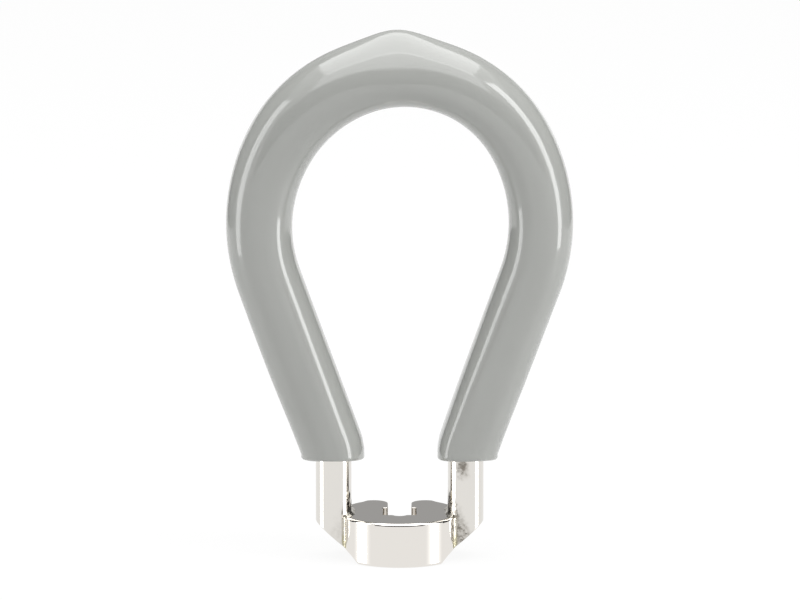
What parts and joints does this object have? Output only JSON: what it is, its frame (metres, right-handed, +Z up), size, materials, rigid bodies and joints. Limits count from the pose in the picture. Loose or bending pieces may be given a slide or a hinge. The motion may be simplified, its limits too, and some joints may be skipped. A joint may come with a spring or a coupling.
{
  "type": "spoke wrench",
  "caption": "Loop-handled spoke wrench: a bent steel bar dipped in grey vinyl, brazed to a nickel-plated disc head with a square seat that turns wheel spoke nipples.",
  "frame": {"origin": "on the axis of the square nipple seat, at the flat foot of the head", "axes": "+Z up the handle along the spoke's axis, X across the loop, +Y towards the open side of the head's slot"},
  "size_m": [0.046, 0.0152, 0.0712],
  "materials": {
    "plated_bar": "bright nickel plate on drawn steel bar",
    "plated_head": "polished nickel plate on turned steel",
    "braze": "plated braze with a faint brassy tint",
    "vinyl": "glossy dipped vinyl, light grey"
  },
  "bodies": {
    "root": {"steel_loop": "plated_bar", "wrench_head": "plated_head", "left_braze": "braze", "right_braze": "braze", "vinyl_grip": "vinyl"}
  },
  "joints": []
}
